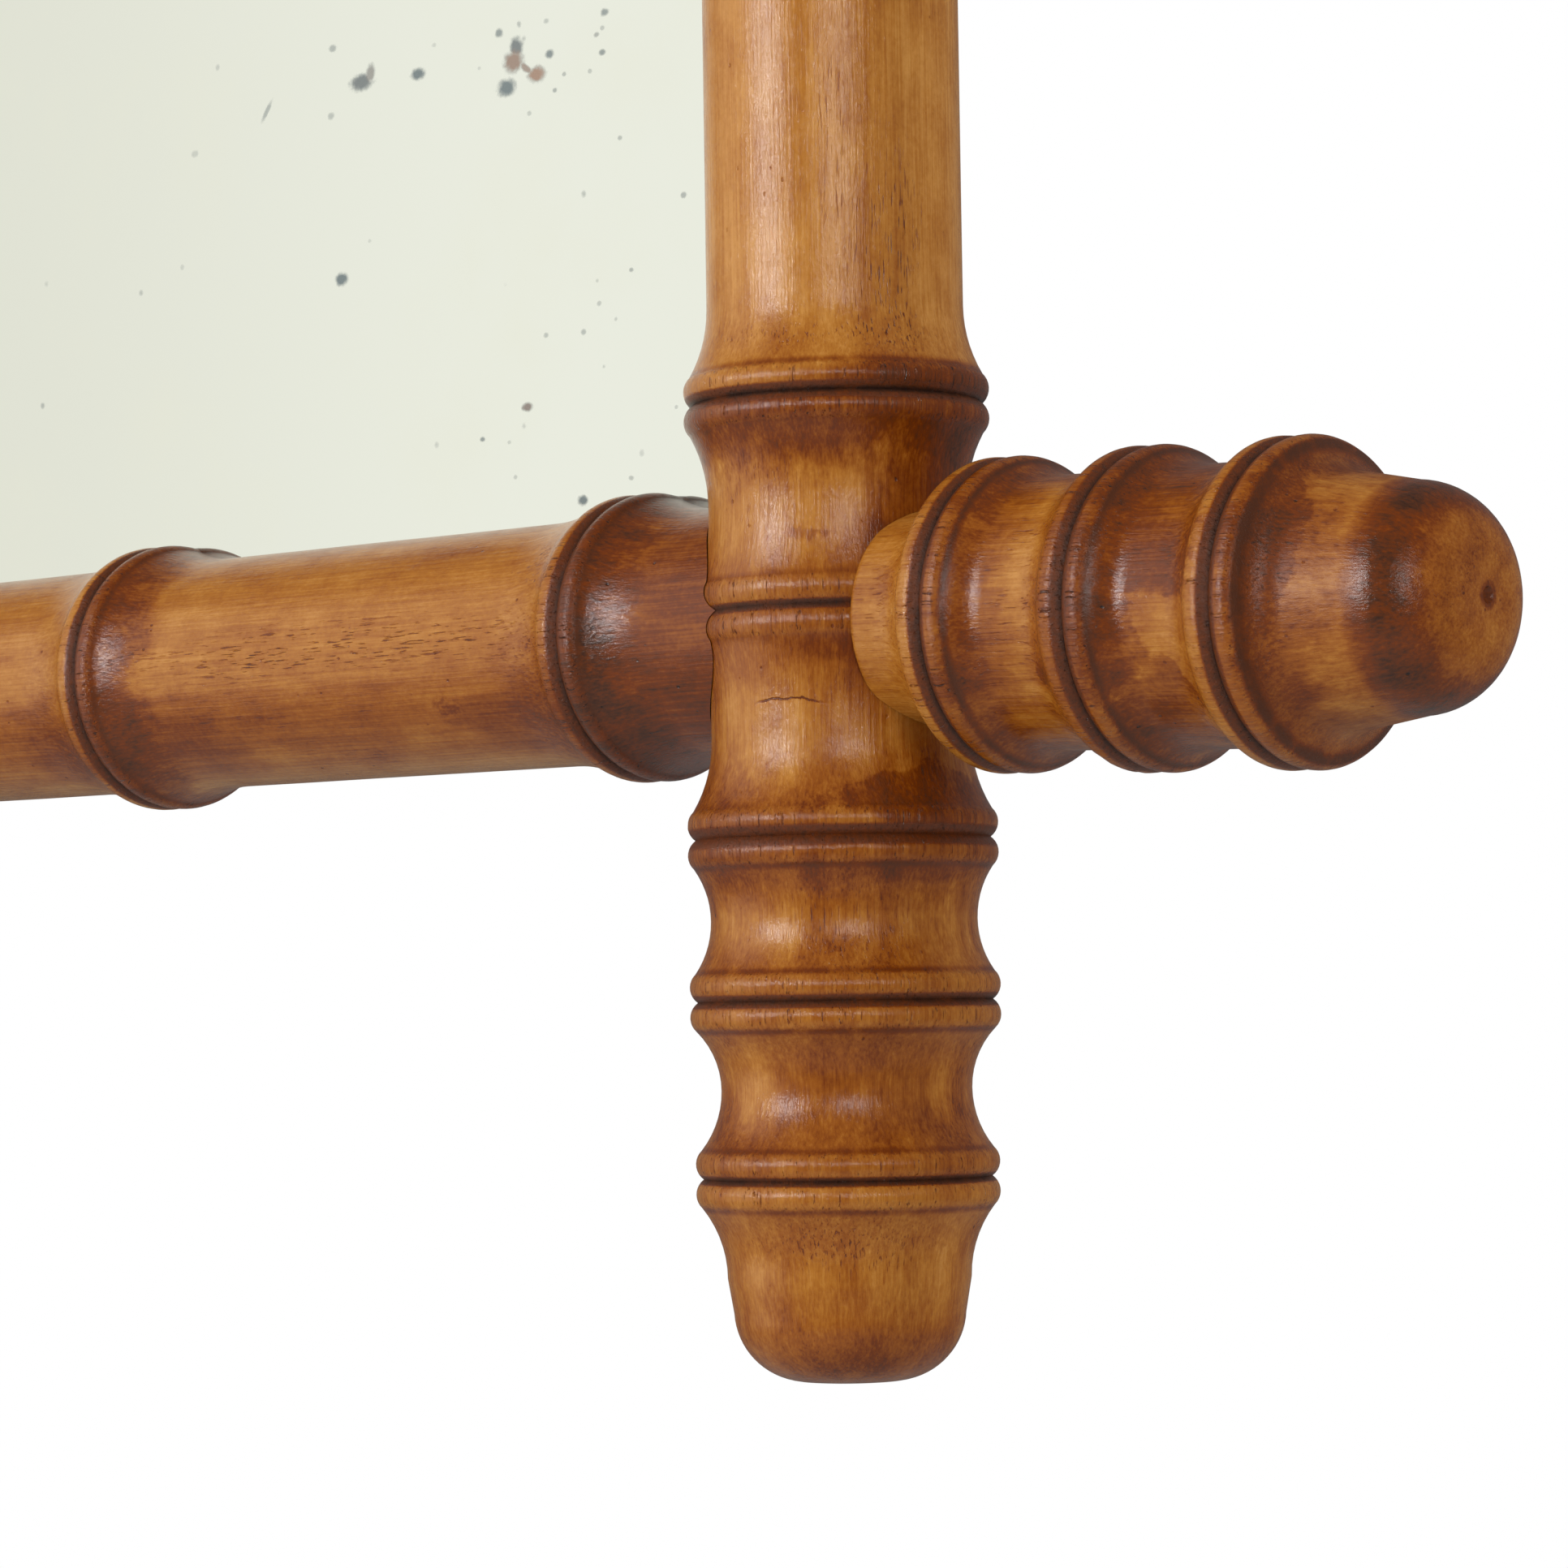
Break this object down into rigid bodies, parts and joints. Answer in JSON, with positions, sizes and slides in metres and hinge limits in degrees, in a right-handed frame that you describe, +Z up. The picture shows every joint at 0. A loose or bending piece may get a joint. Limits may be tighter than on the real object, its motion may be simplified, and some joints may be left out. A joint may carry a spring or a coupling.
{
  "type": "faux bamboo wall mirror",
  "caption": "Antique wall mirror: turned wooden poles that imitate bamboo cross at the corners around an old silvered glass, with wooden back boards and swinging hanger rings behind.",
  "frame": {"origin": "The middle of the bottom rail's planed back, which lies on the wall.", "axes": "+X to the viewer's right, +Y from the room into the wall, +Z up."},
  "size_m": [0.6928, 0.0422, 0.8792],
  "materials": {
    "stained_pole": "honey to red-brown stain, satin varnish",
    "dowel_wood": "bare pale hardwood",
    "old_mirror": "old silvering with foxing",
    "back_board": "bare softwood, darkened with age",
    "brad_steel": "dull dark iron",
    "hanger_brass": "aged brass",
    "screw_steel": "worn steel"
  },
  "bodies": {
    "frame": {"stile_left": "stained_pole", "stile_right": "stained_pole", "rail_bottom": "stained_pole", "rail_top": "stained_pole", "horn_bottom_left": "stained_pole", "horn_bottom_right": "stained_pole", "horn_top_left": "stained_pole", "horn_top_right": "stained_pole", "horn_dowel_bottom_left": "dowel_wood", "horn_dowel_bottom_right": "dowel_wood", "horn_dowel_top_left": "dowel_wood", "horn_dowel_top_right": "dowel_wood", "mirror_glass": "old_mirror", "glass_wedges": "dowel_wood", "back_board_left": "back_board", "back_board_middle": "back_board", "back_board_right": "back_board", "back_board_brads": "brad_steel", "hanger_strap_left": "hanger_brass", "hanger_strap_right": "hanger_brass", "hanger_screws_left": "screw_steel", "hanger_screws_right": "screw_steel"},
    "ring_left": {"hanger_ring_left": "hanger_brass"},
    "ring_right": {"hanger_ring_right": "hanger_brass"}
  },
  "joints": [
    {"name": "ring_left_swing", "type": "hinge", "parent": "frame", "child": "ring_left", "pos_m": [-0.2404, 0.00255, 0.6076], "axis": [-1, 0, 0], "range_deg": [0, 170]},
    {"name": "ring_right_swing", "type": "hinge", "parent": "frame", "child": "ring_right", "pos_m": [0.2404, 0.00255, 0.6076], "axis": [-1, 0, 0], "range_deg": [0, 170]}
  ]
}
